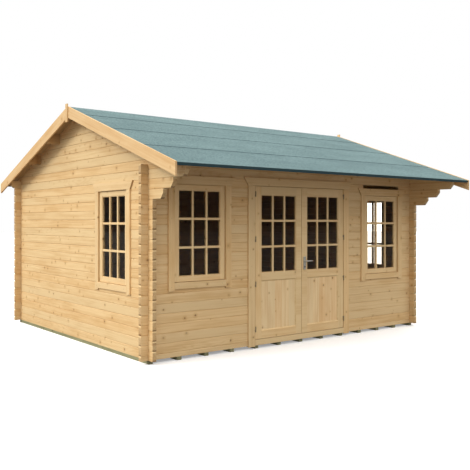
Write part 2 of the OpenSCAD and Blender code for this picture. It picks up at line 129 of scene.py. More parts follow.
# Board is a place in the board in metres: along the grain, across it, through it.
def makeWoodGroup():
    group, given, out = newGroup("sawnPine", [
        ("Board", "Vector", None), ("Tone", "Float", 0.0), ("End", "Float", 0.0),
        ("Pale", "Color", (0.80, 0.58, 0.33, 1)), ("Warm", "Color", (0.66, 0.41, 0.19, 1)),
        ("Knot", "Color", (0.22, 0.09, 0.035, 1)), ("Grain", "Float", 1.0), ("Knots", "Float", 0.5)],
        [("Color", "Color"), ("Roughness", "Float"), ("Height", "Float")])
    board = given["Board"]
    # knots: round spots that go through the board
    knotPlace = scaled(group, board, (6.2, 6.8, 0.0))
    cells = addNode(group, "ShaderNodeTexVoronoi", {"Vector": knotPlace, "Scale": 1.0, "Randomness": 1.0},
                    voronoi_dimensions="2D", feature="F1")
    cellDraw = apart(group, cells.outputs["Color"], "Color")
    size = calc(group, "MULTIPLY_ADD", cellDraw[1], 0.075, 0.035)
    chosen = calc(group, "LESS_THAN", cellDraw[0], given["Knots"])
    ratio = calc(group, "DIVIDE", cells.outputs["Distance"], size)
    spot = calc(group, "MULTIPLY", ramp(group, ratio, 1.15, 0.45), chosen)
    spot = calc(group, "MULTIPLY", spot, calc(group, "MULTIPLY_ADD", cellDraw[2], 0.65, 0.25))
    halo = calc(group, "MULTIPLY", ramp(group, ratio, 3.2, 0.8), chosen)
    # fibres bend round the knots and wander along the board
    wander = noise(group, scaled(group, board, (0.9, 5.0, 5.0)))
    drift = calc(group, "MULTIPLY_ADD", wander, 0.05, calc(group, "MULTIPLY", halo, 0.006))
    split = apart(group, board)
    acrossBent = calc(group, "ADD", split[1], drift)
    bent = together(group, split[0], acrossBent, split[2])
    streak = noise(group, scaled(group, bent, (0.8, 46.0, 46.0)), detail=4.0, roughness=0.62)
    fibre = noise(group, scaled(group, bent, (9.0, 620.0, 620.0)))
    # growth rings round a heart that lies off the board
    off = calc(group, "ADD", split[2], calc(group, "MULTIPLY_ADD", wander, 0.09, 0.035))
    radius = calc(group, "SQRT", calc(group, "ADD", calc(group, "POWER", acrossBent, 2.0),
                                      calc(group, "POWER", off, 2.0)))
    wave = calc(group, "SINE", calc(group, "MULTIPLY", radius, 1150.0))
    rings = ramp(group, wave, 0.1, 1.0)
    patch = noise(group, scaled(group, board, (1.6, 7.0, 7.0)), detail=3.0)
    warmth = calc(group, "MULTIPLY_ADD", ramp(group, streak, 0.36, 0.66), 0.42,
                  calc(group, "MULTIPLY", rings, 0.22))
    warmth = calc(group, "MULTIPLY", warmth, given["Grain"])
    warmth = calc(group, "ADD", warmth, calc(group, "MULTIPLY", given["Tone"], 0.30))
    warmth = calc(group, "ADD", warmth, ramp(group, patch, 0.40, 0.68, -0.06, 0.30))
    warmth = calc(group, "ADD", warmth, calc(group, "MULTIPLY", halo, 0.42), clamp=True)
    base = mixColor(group, warmth, given["Pale"], given["Warm"])
    # board to board brightness
    light = calc(group, "MULTIPLY_ADD", given["Tone"], 0.07, 1.0)
    base = mixColor(group, 1.0, base, together(group, light, light, light, "Color"), "MULTIPLY")
    base = mixColor(group, calc(group, "MULTIPLY", spot, 0.80), base, given["Knot"])
    endShade = calc(group, "MULTIPLY", given["End"], calc(group, "MULTIPLY_ADD", rings, 0.35, 0.22))
    base = mixColor(group, endShade, base, given["Knot"])
    rough = calc(group, "MULTIPLY_ADD", streak, 0.16, 0.50)
    rough = calc(group, "SUBTRACT", rough, calc(group, "MULTIPLY", spot, 0.12))
    height = calc(group, "MULTIPLY_ADD", fibre, 0.55, calc(group, "MULTIPLY", rings, 0.30))
    height = calc(group, "ADD", height, calc(group, "MULTIPLY", spot, 0.4))
    feed(group, out, {"Color": base, "Roughness": rough, "Height": height})
    return group


# Which log a place belongs to, and its place in that log. Place is (along, up, through) in metres.
def makeCourseGroup():
    group, given, out = newGroup("logCourse", [
        ("Place", "Vector", None), ("First joint", "Float", 0.0), ("Course", "Float", 0.1),
        ("Wall", "Float", 0.0)],
        [("Board", "Vector"), ("Tone", "Float"), ("Joint", "Float"), ("Level", "Float")])
    split = apart(group, given["Place"])
    steps = calc(group, "DIVIDE", calc(group, "SUBTRACT", split[1], given["First joint"]), given["Course"])
    number = calc(group, "FLOOR", steps)
    inside = calc(group, "SUBTRACT", steps, number)
    seed = calc(group, "MULTIPLY_ADD", given["Wall"], 37.0, number)
    dice = addNode(group, "ShaderNodeTexWhiteNoise", {"W": seed}, noise_dimensions="1D")
    shifts = apart(group, dice.outputs["Color"], "Color")
    along = calc(group, "MULTIPLY_ADD", shifts[0], 17.0, split[0])
    across = calc(group, "MULTIPLY_ADD", calc(group, "SUBTRACT", inside, 0.5), given["Course"],
                  calc(group, "MULTIPLY", shifts[1], 3.0))
    through = calc(group, "MULTIPLY_ADD", shifts[2], 0.3, split[2])
    tone = calc(group, "MULTIPLY_ADD", dice.outputs["Value"], 2.0, -1.0)
    edge = calc(group, "SUBTRACT", 0.5, calc(group, "ABSOLUTE", calc(group, "SUBTRACT", inside, 0.5)))
    joint = ramp(group, calc(group, "MULTIPLY", edge, given["Course"]), 0.0040, 0.0010)
    feed(group, out, {"Board": together(group, along, across, through), "Tone": tone, "Joint": joint,
                      "Level": calc(group, "MULTIPLY", inside, given["Course"])})
    return group


woodGroup = makeWoodGroup()
courseGroup = makeCourseGroup()


# the last argument is how much painted highlight shows where a log end's bevel faces up; joint is how dark
# the place is, from dark joints and from painted shade on log ends
def finishWood(tree, shader, colors, board, tone, end, relief, joint=None, bevelHighlight=None):
    wood = useGroup(tree, woodGroup, {"Board": board, "Tone": tone, "End": end, "Pale": colors["pale"],
                                      "Warm": colors["warm"], "Knot": colors["knot"],
                                      "Grain": colors["grain"], "Knots": colors["knots"]})
    base = wood["Color"]
    if bevelHighlight is not None:
        # painted highlight: the pale colour on the upward bevel of log ends
        base = mixColor(tree, calc(tree, "MULTIPLY", bevelHighlight, 0.7), base, colors["bevelHighlight"])
    if joint is not None:
        base = mixColor(tree, joint, base, colors["joint"])
    feed(tree, shader, {"Base Color": base, "Roughness": wood["Roughness"], "Specular IOR Level": 0.20,
                        "Normal": bumped(tree, wood["Height"], 0.5, relief)})


# in each palette the pale colour for log ends below a joint is a painted highlight, and the notch darkness is
# painted shade
pine = {    # untreated planed spruce
    "pale": (0.780, 0.560, 0.288, 1), "warm": (0.600, 0.362, 0.148, 1), "knot": (0.200, 0.080, 0.030, 1),
    "joint": (0.160, 0.085, 0.035, 1), "bevelHighlight": (0.840, 0.620, 0.320, 1), "jointDepth": 0.22,
    "notchDepth": 0.64, "cut": 0.0175, "grain": 0.95, "knots": 0.40}
pineFront = dict(pine, pale=(0.770, 0.548, 0.286, 1), warm=(0.600, 0.366, 0.152, 1), knots=0.30,
                 jointDepth=0.05)
pineTrim = dict(pine, pale=(0.790, 0.560, 0.290, 1), warm=(0.620, 0.378, 0.155, 1), knots=0.26, grain=0.75)
pineGable = dict(pine, pale=(0.725, 0.500, 0.256, 1), warm=(0.590, 0.338, 0.133, 1), knots=0.30, grain=0.9)
pineJoinery = dict(pine, pale=(0.800, 0.580, 0.305, 1), warm=(0.640, 0.392, 0.168, 1), knots=0.22, grain=0.7)
pinePanel = dict(pine, pale=(0.860, 0.640, 0.355, 1), warm=(0.690, 0.420, 0.190, 1), knots=0.36, grain=1.0)
pineRoof = dict(pine, pale=(0.680, 0.450, 0.215, 1), warm=(0.500, 0.285, 0.110, 1), knots=0.50)
# painted shade: a darker copy of the roof pine for the roof boards and purlins, which are seen only from
# below
pineShadedUnderside = dict(pineRoof, pale=(0.540, 0.345, 0.155, 1), warm=(0.400, 0.222, 0.083, 1))
treatedPine = dict(pine, pale=(0.330, 0.320, 0.180, 1), warm=(0.210, 0.200, 0.095, 1),
                   knot=(0.080, 0.060, 0.030, 1), grain=1.1)
wallSpec = {"course": 0.114, "thickness": 0.050, "doorSide": 0.84}
endFacing = 0.7    # a face that looks along the grain more than this shows end grain


# Log walls take the place in each log from where they stand. grainAxis is 0 along x or 1 along y.
def makeLogMaterial(name, colors, grainAxis, firstJoint, course, relief=0.0007):
    material, tree, shader = newMaterial(name)
    coords = addNode(tree, "ShaderNodeTexCoord").outputs
    split = apart(tree, coords["Object"])
    place = together(tree, split[grainAxis], split[2], split[1 - grainAxis])
    # logs on the two sides of the doors are not the same logs
    wall = calc(tree, "GREATER_THAN", split[0], wallSpec["doorSide"])
    courses = useGroup(tree, courseGroup, {"Place": place, "First joint": firstJoint, "Course": course,
                                           "Wall": wall})
    towardEnd = calc(tree, "ABSOLUTE", apart(tree, coords["Normal"])[grainAxis])
    end = calc(tree, "GREATER_THAN", towardEnd, endFacing)
    # painted shade and highlight: each log end is darkened just above a joint, as a painted shadow, and made
    # pale just below the next joint, as a painted highlight where its bevel faces up
    atEnd = ramp(tree, towardEnd, 0.45, 0.60)
    level, cut = courses["Level"], colors["cut"]
    above = calc(tree, "MULTIPLY", atEnd, ramp(tree, level, cut + 0.002, cut - 0.001))
    below = calc(tree, "MULTIPLY", atEnd, ramp(tree, level, course - cut - 0.002, course - cut + 0.001))
    joint = calc(tree, "MAXIMUM", calc(tree, "MULTIPLY", courses["Joint"], colors["jointDepth"]),
                 calc(tree, "MULTIPLY", above, colors["notchDepth"]))
    finishWood(tree, shader, colors, courses["Board"], courses["Tone"], end, relief, joint, below)
    return material


# Boards built here carry their own place, tone and grain direction on each point.
def makeBoardMaterial(name, colors, relief=0.0005):
    material, tree, shader = newMaterial(name)
    board, tone, fibre = [addNode(tree, "ShaderNodeAttribute", attribute_name=label).outputs
                          for label in ("board", "tone", "fibre")]
    coords = addNode(tree, "ShaderNodeTexCoord").outputs
    facing = addNode(tree, "ShaderNodeVectorMath", {0: coords["Normal"], 1: fibre["Vector"]},
                     operation="DOT_PRODUCT")
    end = calc(tree, "GREATER_THAN", calc(tree, "ABSOLUTE", facing.outputs["Value"]), endFacing)
    finishWood(tree, shader, colors, board["Vector"], tone["Fac"], end, relief)
    return material


# A CAD piece whose grain runs one way: axis 0, 1 or 2 is along x, y or z, and pieces repeat every step.
def makeBarMaterial(name, colors, grainAxis, stepAxis, step, relief=0.0006):
    material, tree, shader = newMaterial(name)
    coords = addNode(tree, "ShaderNodeTexCoord").outputs
    split = apart(tree, coords["Object"])
    others = [axis for axis in (0, 1, 2) if axis != grainAxis]
    number = calc(tree, "ROUND", calc(tree, "DIVIDE", split[stepAxis], step))
    dice = addNode(tree, "ShaderNodeTexWhiteNoise", {"W": number}, noise_dimensions="1D").outputs["Value"]
    along = calc(tree, "MULTIPLY_ADD", dice, 9.0, split[grainAxis])
    board = together(tree, along, calc(tree, "ADD", split[others[0]], dice), split[others[1]])
    facing = apart(tree, coords["Normal"])[grainAxis]
    end = calc(tree, "GREATER_THAN", calc(tree, "ABSOLUTE", facing), endFacing)
    finishWood(tree, shader, colors, board, calc(tree, "MULTIPLY_ADD", dice, 2.0, -1.0), end, relief)
    return material


# A piece is one mesh of many boards, each placed by the turn of the moment.
def startPiece():
    mesh = bmesh.new()
    mesh.verts.layers.float_vector.new("board")
    mesh.verts.layers.float.new("tone")
    mesh.verts.layers.float_vector.new("fibre")
    return {"mesh": mesh, "turn": Matrix.Identity(4)}


# adds one closed shape to the mesh of a piece
def joinInto(mesh, own):
    bmesh.ops.recalc_face_normals(own, faces=own.faces[:])
    temp = bpy.data.meshes.new("joined")
    own.to_mesh(temp)
    own.free()
    mesh.from_mesh(temp)
    bpy.data.meshes.remove(temp)


def addSides(mesh, low, high):
    for i in range(len(low)):
        j = (i + 1) % len(low)
        mesh.faces.new((low[i], low[j], high[j], high[i]))


# outline is a list of (u, v) points; the board fills it from origin, and is depth thick along u x v
def addPrism(piece, outline, origin, uAxis, vAxis, depth, fibre, chamfer=0.0015, tone=None):
    own = bmesh.new()
    place = own.verts.layers.float_vector.new("board")
    toneLayer = own.verts.layers.float.new("tone")
    fibreLayer = own.verts.layers.float_vector.new("fibre")
    wAxis = uAxis.cross(vAxis)
    low = [own.verts.new(origin + uAxis * u + vAxis * v) for u, v in outline]
    high = [own.verts.new(vert.co + wAxis * depth) for vert in low]
    own.faces.new(low[::-1])
    own.faces.new(high)
    addSides(own, low, high)
    if chamfer > 0:
        bmesh.ops.bevel(own, geom=own.edges[:], offset=chamfer, segments=2, profile=0.6, affect="EDGES",
                        clamp_overlap=True)
    across = wAxis.cross(fibre)
    shift = Vector((draw.uniform(0, 20), draw.uniform(0, 3), draw.uniform(0, 0.3)))
    ownTone = draw.uniform(-1, 1) if tone is None else tone + draw.uniform(-0.15, 0.15)
    middleU, middleV = (sum(part) / len(outline) for part in zip(*outline))
    middle = origin + uAxis * middleU + vAxis * middleV
    turned = (piece["turn"].to_3x3() @ fibre).normalized()
    for vert in own.verts:
        local = vert.co - middle
        vert[place] = Vector((local.dot(fibre), local.dot(across), local.dot(wAxis))) + shift
        vert[toneLayer] = ownTone
        vert[fibreLayer] = turned
    own.transform(piece["turn"])
    joinInto(piece["mesh"], own)


# a straight board between two opposite corners; its grain runs along axis 0, 1 or 2
def addBoard(piece, corner, opposite, along, chamfer=0.0015, tone=None):
    low, high = (Vector([pick(pair) for pair in zip(corner, opposite)]) for pick in (min, max))
    size = high - low
    axes = (xAxis, yAxis, zAxis)
    rest = [axis for axis in (0, 1, 2) if axis != along]
    thin = min(rest, key=lambda axis: size[axis])
    # u x v has to give the thin axis
    u, v = [(1, 2), (2, 0), (0, 1)][thin]
    outline = [(0, 0), (size[u], 0), (size[u], size[v]), (0, size[v])]
    addPrism(piece, outline, low, axes[u], axes[v], size[thin], axes[along], chamfer, tone)


def finishMesh(mesh, name, material, body, replaced=()):
    data = bpy.data.meshes.new(name)
    mesh.to_mesh(data)
    mesh.free()
    obj = bpy.data.objects.new(name, data)
    bpy.context.scene.collection.objects.link(obj)
    data.materials.append(material)
    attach(obj, body)
    if replaced:
        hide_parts(*replaced)


def finishPiece(piece, name, material, body, replaced=()):
    finishMesh(piece["mesh"], name, material, body, replaced)


def paint(node, material, bevel=0.0):
    obj = nodes[node]
    obj.data.materials.clear()
    obj.data.materials.append(material)
    if bevel:
        edge = obj.modifiers.new("easedEdges", "BEVEL")
        edge.width, edge.segments, edge.limit_method = bevel, 2, "ANGLE"
        edge.angle_limit = math.radians(35)


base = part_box("floor")[0].z
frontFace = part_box("door_frame")[1].y - wallSpec["thickness"]
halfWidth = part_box("floor")[1].x + wallSpec["thickness"]
frontLogs = makeLogMaterial("frontLogs", pineFront, 0, base + wallSpec["course"] / 2, wallSpec["course"])
sideLogs = makeLogMaterial("sideLogs", pine, 1, base, wallSpec["course"])
for name in ("front_wall_left", "front_wall_right", "front_wall_over_door", "back_wall"):
    paint(name, frontLogs)
for name in ("left_wall", "right_wall"):
    paint(name, sideLogs)
print("stage: walls painted")

floorSpec = {"board": 0.0875, "gap": 0.0015, "chamfer": 0.002, "bearerStep": 0.388}
paint("bearers", makeBarMaterial("treatedBearers", treatedPine, 1, 0, floorSpec["bearerStep"]), 0.002)
low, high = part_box("floor")
floor = startPiece()
count = round((high.y - low.y) / floorSpec["board"])
pitch = (high.y - low.y) / count
for i in range(count):
    addBoard(floor, (low.x, low.y + i * pitch, low.z),
             (high.x, low.y + (i + 1) * pitch - floorSpec["gap"], high.z), 0, floorSpec["chamfer"])
floorPine = makeBoardMaterial("floorPine", pineRoof)
finishPiece(floor, "floorBoards", floorPine, "cabin", ["floor"])
print("stage: floor laid")

roofSpec = {"pitch": 19.1, "thickness": 0.019, "board": 0.1065, "gap": 0.001, "chamfer": 0.0008,
            "purlinStep": 0.7}
roofAngle = math.radians(roofSpec["pitch"])
thick = roofSpec["thickness"]
slant = thick * math.tan(roofAngle)    # the upper end of a roof board is cut plumb at the ridge
roofPine = makeBoardMaterial("roofPine", pineShadedUnderside)
for side, node in ((-1, "roof_boards_front"), (1, "roof_boards_back")):
    low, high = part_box(node)
    down = Vector((0, side * math.cos(roofAngle), -math.sin(roofAngle)))
    up = Vector((0, side * math.sin(roofAngle), math.cos(roofAngle)))
    ridge = Vector((low.x, 0, high.z))
    reach = (high.y if side > 0 else -low.y) / math.cos(roofAngle) - slant
    count = round((high.x - low.x) / roofSpec["board"])
    pitch = (high.x - low.x) / count
    boards = startPiece()
    width = pitch - roofSpec["gap"]
    outline = [(-slant + 0.0002, 0), (reach - 0.0005, 0), (reach - 0.0005, thick), (0.0002, thick)]
    for i in range(count):
        start = ridge + xAxis * (i * pitch) - up * thick
        addPrism(boards, outline, start + xAxis * width if side < 0 else start, down, up, width, down,
                 roofSpec["chamfer"])
    finishPiece(boards, "roofBoardsFront" if side < 0 else "roofBoardsBack", roofPine, "cabin",
                [node])
purlinPine = makeBarMaterial("purlinPine", pineShadedUnderside, 0, 1, roofSpec["purlinStep"])
for name in ("purlins", "ridge_purlin"):
    paint(name, purlinPine, 0.003)


def makeFeltMaterial():
    # the darkest colour is painted shade for felt faces that turn away from the sky
    spec = {"strip": (0.134, 0.218, 0.214, 1), "pale": (0.170, 0.267, 0.260, 1),
            "dark": (0.050, 0.095, 0.105, 1), "fold": (0.022, 0.055, 0.062, 1),
            "laps": ((0.463, 0.10), (1.175, 0.0), (1.939, 0.07))}
    material, tree, shader = newMaterial("mineralFelt")
    coords = addNode(tree, "ShaderNodeTexCoord").outputs
    place = coords["Object"]
    level = calc(tree, "ABSOLUTE", apart(tree, place)[1])
    grit = addNode(tree, "ShaderNodeTexVoronoi", {"Vector": place, "Scale": 420.0}).outputs["Distance"]
    speck = noise(tree, place, 42.0, 6.0, 0.72)
    cloud = noise(tree, scaled(tree, place, (0.9, 2.2, 2.2)), 1.4, 4.0)
    base = mixColor(tree, ramp(tree, cloud, 0.35, 0.65), spec["strip"], spec["pale"])
    # below each lap a sheet has its own tone, and the edge of the lap is a thin dark line, partly its own
    # tone and partly painted shadow under the lap
    for edge, darker in spec["laps"]:
        below = calc(tree, "GREATER_THAN", level, edge)
        base = mixColor(tree, calc(tree, "MULTIPLY", below, darker), base, spec["dark"])
        line = ramp(tree, calc(tree, "ABSOLUTE", calc(tree, "SUBTRACT", level, edge + 0.003)), 0.009, 0.002)
        base = mixColor(tree, calc(tree, "MULTIPLY", line, 0.55), base, spec["dark"])
    speckle = calc(tree, "MULTIPLY", ramp(tree, speck, 0.38, 0.66), 0.78)
    base = mixColor(tree, speckle, base, spec["dark"])
    # painted shade: faces that turn away from the sky, like the folded drip edge, are darkened
    base = mixColor(tree, ramp(tree, apart(tree, coords["Normal"])[2], 0.8, 0.5), base, spec["fold"])
    height = calc(tree, "ADD", grit, calc(tree, "MULTIPLY", speck, 1.5))
    feed(tree, shader, {"Base Color": base, "Roughness": calc(tree, "MULTIPLY_ADD", speck, 0.12, 0.82),
                        "Normal": bumped(tree, height, 0.6, 0.0015)})
    return material


felt = makeFeltMaterial()
for name in ("felt_front", "felt_back", "felt_ridge"):
    paint(name, felt)

bargeSpec = {"thickness": 0.022, "width": 0.148, "chamfer": 0.002, "finial": 0.018}
gablePine = makeBoardMaterial("gablePine", pineGable)
for sideName, side in (("left", -1), ("right", 1)):
    for endName, end in (("front", -1), ("back", 1)):
        node = sideName + "_bargeboard_" + endName
        low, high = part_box(node)
        reach = -low.y if end < 0 else high.y
        drop = reach * math.tan(roofAngle)
        outline = [(0, 0), (reach, -drop), (reach, -drop - bargeSpec["width"]), (0, -bargeSpec["width"])]
        origin = Vector((low.x if end > 0 else high.x, 0, high.z))
        down = Vector((0, end * math.cos(roofAngle), -math.sin(roofAngle)))
        board = startPiece()
        addPrism(board, outline, origin, yAxis * end, zAxis, bargeSpec["thickness"], down,
                 bargeSpec["chamfer"], 0.1)
        finishPiece(board, sideName + "Bargeboard" + endName.capitalize(), gablePine, "cabin",
                    [node])
low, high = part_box("finials")
finial = startPiece()
for x in (low.x, high.x - bargeSpec["finial"]):
    addBoard(finial, (x, low.y, low.z), (x + bargeSpec["finial"], high.y, high.z), 2, 0.003, 0.2)
finishPiece(finial, "gableFinials", gablePine, "cabin", ["finials"])
print("stage: roof built")

windowSpec = {"sashWidth": 0.744, "sashHeight": 1.150, "stile": 0.070, "rail": 0.066, "depth": 0.040,
              "set": 0.004, "frame": 0.025, "frameSill": 0.035, "frameHead": 0.035, "frameDepth": 0.050,
              "bar": 0.028, "barSet": 0.005, "glass": 0.004, "mould": 0.009, "mouldSet": 0.006, "gap": 0.006,
              "lip": 0.018}
trimSpec = {"width": 0.084, "thickness": 0.020, "head": 0.103, "flare": 0.065, "foot": 0.076, "tail": 0.021,
            "joint": 0.0006, "footJoint": 0.0005}
trimPine = makeBoardMaterial("trimPine", pineTrim)
joineryPine = makeBoardMaterial("joineryPine", pineJoinery)


# the bars that divide glass into three by three panes, on both sides of the glass
def addBars(piece, x0, x1, z0, z1, front, back, glassMiddle, glass):
    barSet, half = windowSpec["barSet"], windowSpec["bar"] / 2
    xs, zs = ([low + (high - low) * i / 3 for i in range(4)] for low, high in ((x0, x1), (z0, z1)))
    for y0, y1 in ((front + barSet, glassMiddle - glass / 2), (glassMiddle + glass / 2, back - barSet)):
        for x in xs[1:3]:
            addBoard(piece, (x - half, y0, z0), (x + half, y1, z1), 2, 0.004)
        for z in zs[1:3]:
            for k in range(3):
                left, right = xs[k] + (half if k > 0 else 0), xs[k + 1] - (half if k < 2 else 0)
                addBoard(piece, (left, y0, z - half), (right, y1, z + half), 0, 0.004)


# a thin moulding round a glazed opening
def addMoulding(piece, x0, x1, z0, z1, y0, y1, width):
    addBoard(piece, (x0, y0, z0), (x0 + width, y1, z1), 2, 0.003)
    addBoard(piece, (x1 - width, y0, z0), (x1, y1, z1), 2, 0.003)
    addBoard(piece, (x0 + width, y0, z0), (x1 - width, y1, z0 + width), 0, 0.003)
    addBoard(piece, (x0 + width, y0, z1 - width), (x1 - width, y1, z1), 0, 0.003)


# the outer part of a sash is a little smaller than the part behind it, which leaves a gap all round
def addSash(sash, bars):
    spec = windowSpec
    w, h = spec["sashWidth"] / 2, spec["sashHeight"]
    front, back = spec["set"], spec["set"] + spec["depth"]
    inner = w - spec["stile"]
    for y0, y1, gap in ((front, front + spec["lip"], spec["gap"]), (front + spec["lip"], back, 0)):
        tone = draw.uniform(-0.6, 0.6)
        addBoard(sash, (-w + gap, y0, gap), (-inner, y1, h - gap), 2, 0.0015, tone)
        addBoard(sash, (inner, y0, gap), (w - gap, y1, h - gap), 2, 0.0015, tone)
        addBoard(sash, (-inner, y0, gap), (inner, y1, spec["rail"]), 0, 0.0015, tone)
        addBoard(sash, (-inner, y0, h - spec["rail"]), (inner, y1, h - gap), 0, 0.0015, tone)
    middle = (front + back) / 2
    half, inset = spec["glass"] / 2, spec["mouldSet"]
    for y0, y1 in ((front + inset, middle - half), (middle + half, back - inset)):
        addMoulding(sash, -inner, inner, spec["rail"], h - spec["rail"], y0, y1, spec["mould"])
    addBars(bars, -inner, inner, spec["rail"], h - spec["rail"], front, back, middle, spec["glass"])


def addWindowFrame(piece):
    spec = windowSpec
    w, h = spec["sashWidth"] / 2, spec["sashHeight"]
    outer = w + spec["frame"]
    depth = spec["frameDepth"]
    for side in (-1, 1):
        addBoard(piece, (side * outer, 0, 0), (side * w, depth, h), 2, 0.001)
    addBoard(piece, (-outer, 0, -spec["frameSill"]), (outer, depth, 0), 0, 0.001)
    addBoard(piece, (-outer, 0, h), (outer, depth, h + spec["frameHead"]), 0, 0.001)


def addTrimHead(piece, half, z):
    wide, head = half + trimSpec["flare"], trimSpec["head"]
    # u x v is -y, so the board grows out of the wall
    addPrism(piece, [(-half, 0), (half, 0), (wide, head), (-wide, head)], Vector((0, 0, z)), xAxis, zAxis,
             trimSpec["thickness"], xAxis, 0.002)


def addWindowTrim(piece):
    spec = trimSpec
    w, h = windowSpec["sashWidth"] / 2, windowSpec["sashHeight"]
    front, joint = -spec["thickness"], spec["joint"]
    for side in (-1, 1):
        addBoard(piece, (side * w, front, -spec["foot"] - spec["tail"]),
                 (side * (w + spec["width"]), 0, h - joint), 2, 0.002)
    footJoint = spec["footJoint"]
    addBoard(piece, (-w + footJoint, front, -spec["foot"]), (w - footJoint, 0, 0), 0, 0.002)
    addTrimHead(piece, w + spec["width"], h)


# screw heads of one window's trims: (x, z) places
def trimScrewPlaces():
    w, h = windowSpec["sashWidth"] / 2, windowSpec["sashHeight"]
    x = w + trimSpec["width"] / 2
    places = [(side * x, z) for side in (-1, 1) for z in (-0.05, 0.35, 0.75, h - 0.05)]
    places += [(side * (w - 0.06), -trimSpec["foot"] / 2) for side in (-1, 1)]
    places += [(side * w, h + trimSpec["head"] / 2) for side in (-1, 1)]
    return places


def makeScrewMaterial():
    material, tree, shader = newMaterial("screwSteel")
    grain = noise(tree, addNode(tree, "ShaderNodeTexCoord").outputs["Object"], 300.0)
    base = mixColor(tree, grain, (0.30, 0.24, 0.12, 1), (0.46, 0.38, 0.20, 1))
    feed(tree, shader, {"Base Color": base, "Roughness": calc(tree, "MULTIPLY_ADD", grain, 0.2, 0.3),
                        "Metallic": 0.9})
    return material


screwSteel = makeScrewMaterial()
screwSpec = {"radius": 0.0038, "rim": 0.0006, "slot": 0.00018, "sides": 12}


# a countersunk head: a shallow disc with a ring and a sunk middle
def addScrew(mesh, place, outward):
    radius, rim, sides = screwSpec["radius"], screwSpec["rim"], screwSpec["sides"]
    own = bmesh.new()
    rings = []
    for share, height in ((1.0, 0.0), (0.85, rim), (0.35, rim), (0.22, -screwSpec["slot"])):
        turns = [a * math.tau / sides for a in range(sides)]
        rings.append([own.verts.new((radius * share * math.cos(a), radius * share * math.sin(a), height))
                      for a in turns])
    for ring, following in zip(rings, rings[1:]):
        addSides(own, ring, following)
    own.faces.new(rings[-1])
    own.faces.new(rings[0][::-1])
    own.transform(Matrix.Translation(place) @ outward.to_track_quat("Z", "Y").to_matrix().to_4x4())
    joinInto(mesh, own)


# where each window stands: its middle, its sash's lower edge, and how its wall is turned
frontLow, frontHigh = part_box("front_window_glass")
sideLow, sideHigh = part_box("side_window_glass")
glassHalf = windowSpec["sashWidth"] / 2 - windowSpec["stile"]
frontX = frontHigh.x - glassHalf
sideY = (sideLow.y + sideHigh.y) / 2
sideSill = sideLow.z - windowSpec["rail"]
leftSill = frontHigh.z + windowSpec["rail"] - windowSpec["sashHeight"]
rightSill = frontLow.z - windowSpec["rail"]
quarter = math.pi / 2
windowSets = {
    "front": [Matrix.Translation((-frontX, frontFace, leftSill)),
              Matrix.Translation((frontX, frontFace, rightSill))],
    "side": [Matrix.Translation((side * halfWidth, sideY, sideSill)) @ Matrix.Rotation(side * quarter, 4, "Z")
             for side in (-1, 1)]}
screws = bmesh.new()
for wall, places in windowSets.items():
    sash, bars, casing, trim = startPiece(), startPiece(), startPiece(), startPiece()
    for place in places:
        for piece in (sash, bars, casing, trim):
            piece["turn"] = place
        addSash(sash, bars)
        addWindowFrame(casing)
        addWindowTrim(trim)
        outward = place.to_3x3() @ -yAxis
        for x, z in trimScrewPlaces():
            addScrew(screws, place @ Vector((x, -trimSpec["thickness"], z)), outward)
    finishPiece(sash, wall + "WindowSashes", joineryPine, "cabin", [wall + "_window_sashes"])
    finishPiece(bars, wall + "WindowBars", joineryPine, "cabin")
    finishPiece(casing, wall + "WindowFrames", joineryPine, "cabin", [wall + "_window_frames"])
    finishPiece(trim, wall + "WindowTrims", trimPine, "cabin", [wall + "_window_trims"])


def makeGlassMaterial():
    material, tree, shader = newMaterial("windowGlass")
    coords = addNode(tree, "ShaderNodeTexCoord").outputs
    film = ramp(tree, noise(tree, coords["Object"], 2.5, 3.0), 0.4, 0.7, 0.0, 0.04)
    feed(tree, shader, {"Base Color": (0.96, 0.92, 0.85, 1), "Roughness": film, "Metallic": 0.0,
                        "Transmission Weight": 1.0, "IOR": 1.45, "Specular IOR Level": 0.14})
    return material


glass = makeGlassMaterial()
for name in ("front_window_glass", "side_window_glass", "left_leaf_glass", "right_leaf_glass"):
    paint(name, glass)
print("stage: windows built")

panelPine = makeBoardMaterial("panelPine", pinePanel)
doorSpec = {"jamb": 0.030, "stop": 0.012, "stopGap": 0.005, "trimWidth": 0.108, "gap": 0.006, "stile": 0.098,
            "bevel": 0.0025, "panelBoards": 5, "panelGap": 0.0004, "mould": 0.010, "slope": 0.015,
            "slopeStep": 0.003, "screws": (0.15, 0.6, 1.05, 1.5, 1.95)}
low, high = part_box("door_frame")
clear = high.x - doorSpec["jamb"]
leafLow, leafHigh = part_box("left_leaf")
head = leafHigh.z + doorSpec["gap"]
sillTop = leafLow.z - doorSpec["gap"]
rebate = leafHigh.y + doorSpec["stopGap"]
stopX = clear - doorSpec["stop"]
casing = startPiece()
for side in (-1, 1):
    addBoard(casing, (side * high.x, frontFace, low.z), (side * clear, high.y, high.z), 2, 0.001)
    addBoard(casing, (side * clear, rebate, sillTop), (side * stopX, high.y, head), 2, 0.001)
addBoard(casing, (-clear, frontFace, head), (clear, high.y, high.z), 0, 0.001)
addBoard(casing, (-stopX, rebate, head - doorSpec["stop"]), (stopX, high.y, head), 0, 0.001)
addBoard(casing, (-clear, low.y, low.z), (clear, high.y, sillTop), 0, 0.003)
finishPiece(casing, "doorCasing", joineryPine, "cabin", ["door_frame"])

trim = startPiece()
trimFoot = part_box("door_trim")[0].z
trimFace = frontFace - trimSpec["thickness"]
for side in (-1, 1):
    addBoard(trim, (side * clear, trimFace, trimFoot),
             (side * (clear + doorSpec["trimWidth"]), frontFace, head - trimSpec["joint"]), 2, 0.002)
    for z in doorSpec["screws"]:
        addScrew(screws, Vector((side * (clear + doorSpec["trimWidth"] / 2), trimFace, z)), -yAxis)
trim["turn"] = Matrix.Translation((0, frontFace, 0))
addTrimHead(trim, clear + doorSpec["trimWidth"], head)
finishPiece(trim, "doorTrims", trimPine, "cabin", ["door_trim"])
finishMesh(screws, "trimScrews", screwSteel, "cabin")


